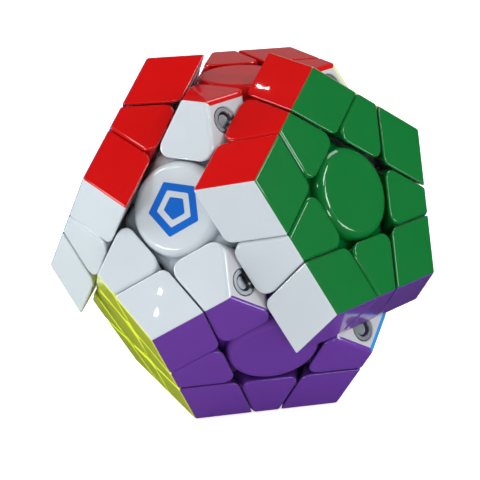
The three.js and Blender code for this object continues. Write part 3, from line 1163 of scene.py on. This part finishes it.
select_nothing()
bpy.ops.mesh.primitive_grid_add(x_subdivisions=8, y_subdivisions=8, size=FLOOR_SIZE, location=(0, 0, 0))
floor = newest("floor")
paper = bpy.data.materials.new("floor_paper")
paper.use_nodes = True
sheet = paper.node_tree
sheet_shader = sheet.nodes["Principled BSDF"]
fibres = add_noise(
    sheet, add_node(sheet, "ShaderNodeTexCoord", "place").outputs["Object"], "fibres", 60, 4
)
tone = add_node(sheet, "ShaderNodeMix", "tone", data_type="RGBA")
tone.inputs["A"].default_value = PAPER_DARK
tone.inputs["B"].default_value = PAPER_LIGHT
sheet.links.new(fibres, tone.inputs["Factor"])
sheet.links.new(tone.outputs["Result"], sheet_shader.inputs["Base Color"])
sheet_shader.inputs["Roughness"].default_value = 0.9
sheet_shader.inputs["Specular IOR Level"].default_value = 0.1
looks = add_node(sheet, "ShaderNodeLightPath", "what looks")
glow = add_node(sheet, "ShaderNodeEmission", "white glow")
glow_strength = calculate(
    sheet, "MULTIPLY", looks.outputs["Is Camera Ray"], PAPER_GLOW, "share for the camera"
)
sheet.links.new(glow_strength, glow.inputs["Strength"])
both = add_node(sheet, "ShaderNodeAddShader", "paper and glow")
sheet.links.new(sheet_shader.outputs["BSDF"], both.inputs[0])
sheet.links.new(glow.outputs["Emission"], both.inputs[1])
sheet.links.new(both.outputs["Shader"], sheet.nodes["Material Output"].inputs["Surface"])
floor.data.materials.append(paper)
floor.visible_glossy = False
print("the floor is", FLOOR_SIZE, "m wide")

# %% [markdown]
# ## The surround
# The camera sees a white backdrop. Matt surfaces get a soft warm fill from all sides, and glossy
# reflections see a room that is nearly dark, so that the coats show the soft boxes and little else.

# %% Surround
world = bpy.data.worlds.new("surround")
bpy.context.scene.world = world
world.use_nodes = True
surround = world.node_tree
seen = add_node(surround, "ShaderNodeLightPath", "what looks")


def surround_light(label, colour, strength):
    light = add_node(surround, "ShaderNodeBackground", label)
    light.inputs["Color"].default_value = (*colour, 1)
    light.inputs["Strength"].default_value = strength
    return light.outputs["Background"]


def choose(ray, otherwise, chosen):
    """One surround for this kind of ray and another for the rest."""
    mix = add_node(surround, "ShaderNodeMixShader", "for " + ray)
    surround.links.new(seen.outputs[ray], mix.inputs["Fac"])
    surround.links.new(otherwise, mix.inputs[1])
    surround.links.new(chosen, mix.inputs[2])
    return mix.outputs["Shader"]


fill = surround_light("soft fill", (1.0, 0.97, 0.84), 0.47)
dark = surround_light("dark room in the gloss", (0.9, 0.95, 1.0), 0.04)
backdrop = surround_light("white backdrop", (1, 1, 1), 1.0)
for_camera = choose("Is Camera Ray", choose("Is Glossy Ray", fill, dark), backdrop)
surround.links.new(for_camera, surround.nodes["World Output"].inputs["Surface"])
print("the surround mixes", len(surround.nodes), "nodes")

# %% [markdown]
# ## The camera
# A long lens from a good distance keeps the pentagons nearly true to shape. The camera looks a little
# past the middle and is rolled by a degree or two, as a hand-held one is. Azimuth and elevation are in
# degrees, and azimuth 0 is straight in front of the white face.

# %% Camera
SENSOR_WIDTH = 36
VIEW_AZIMUTH = 26.42
VIEW_ELEVATION = 22.26
VIEW_ROLL = math.radians(-1.65)
VIEW_DISTANCE = 8.926 * EDGE
LENS = 94.06
LOOK_RIGHT = -0.035 * EDGE
LOOK_UP = -0.093 * EDGE


def towards(azimuth, elevation):
    """A direction; azimuth 0 is towards the viewer of the white face, and it grows to the right."""
    a, e = math.radians(azimuth), math.radians(elevation)
    return Vector((math.sin(a) * math.cos(e), -math.cos(a) * math.cos(e), math.sin(e)))


back = towards(VIEW_AZIMUTH, VIEW_ELEVATION)
level = towards(VIEW_AZIMUTH + 90, 0)
camera_turn = Matrix.Rotation(VIEW_ROLL, 3, back) @ Matrix((level, back.cross(level), back)).transposed()
target = MIDDLE + camera_turn @ Vector((LOOK_RIGHT, LOOK_UP, 0))
bpy.ops.object.camera_add(location=target + back * VIEW_DISTANCE, rotation=camera_turn.to_euler())
camera = newest("camera")
camera.data.lens = LENS
camera.data.sensor_width = SENSOR_WIDTH
camera.data.clip_start = 0.01
camera.data.clip_end = 20
bpy.context.scene.camera = camera
bpy.context.scene.view_settings.view_transform = "Standard"
print("the camera stands", round(VIEW_DISTANCE, 3), "m away")

# %% [markdown]
# ## Soft boxes and sparkles
# Glossy plastic shows whatever is around it, so the light comes from soft boxes a metre away, where
# no flat face mirrors them towards the camera. Then only the rounded rims catch them, as thin bright
# lines, and the colours of the faces stay deep. A sparkle is a small lamp that one face does mirror. A
# mirror sends light out at the angle at which it came in, so we turn the view from the chosen point
# about the face's normal to find where the lamp has to stand. The point is a share of the way from the
# middle of a face to a corner.

# %% Place the lamps
LAMP_COLOUR = (0.94, 0.98, 1.0)
SPARKLE_DISTANCE = 0.8


def lamp(name, position, looks_at, size, power):
    """A lamp with the shape of a rectangle, turned to look at a point."""
    turn = (position - looks_at).to_track_quat("Z", "Y").to_euler()
    bpy.ops.object.light_add(type="AREA", location=position, rotation=turn)
    light = newest(name)
    light.data.shape = "RECTANGLE"
    light.data.size, light.data.size_y = size
    light.data.energy = power
    light.data.color = LAMP_COLOUR


def soft_box(name, azimuth, elevation, size, power):
    """A wide lamp, its size in metres and its power in watts."""
    lamp(name, MIDDLE + towards(azimuth, elevation), MIDDLE, size, power)


def sparkle(name, corner, face, share, size, power):
    """A lamp mirrored by a face at a point on the way to one of its corners."""
    turn = Matrix.Rotation(TURNS.get(layer_of(corner), 0.0), 3, AXES[layer_of(corner) or face])
    normal = turn @ AXES[face]
    point = turn @ (AXES[face] * FACE_DISTANCE).lerp(direction(corner) * VERTEX_RADIUS, share) + MIDDLE
    view = (camera.location - point).normalized()
    mirrored = 2 * normal.dot(view) * normal - view
    lamp(name, point + mirrored * SPARKLE_DISTANCE, point, size, power)


soft_box("right_panel_1", 97, 6, (0.34, 0.15), 1.26)
soft_box("right_panel_2", 97, 24, (0.34, 0.15), 1.62)
soft_box("right_panel_3", 97, 42, (0.34, 0.15), 1.89)
soft_box("low_right_box", 51, 8, (0.22, 0.16), 1.08)
soft_box("front_box", -8, 48, (0.18, 0.14), 0.72)
soft_box("upper_left_strip", -43, 43, (0.08, 0.2), 0.54)
soft_box("left_box", -64, 38, (0.2, 0.24), 1.44)
soft_box("low_front_box", -27, 3, (0.3, 0.06), 1.98)
soft_box("low_left_box", -74, 4, (0.4, 0.12), 4.14)
soft_box("back_box", -160, 16, (0.8, 0.36), 0.144)
soft_box("high_back_box", 165, 58, (0.4, 0.4), 1.8)
sparkle("sparkle_inner", ("white", "purple", "yellow"), "white", 0.644, (0.0058, 0.0052), 0.0027)
sparkle("sparkle_outer", ("white", "purple", "yellow"), "white", 0.823, (0.005, 0.0066), 0.0027)
sparkle("sparkle_top", ("red", "green", "cream"), "red", 0.581, (0.0022, 0.015), 0.0036)
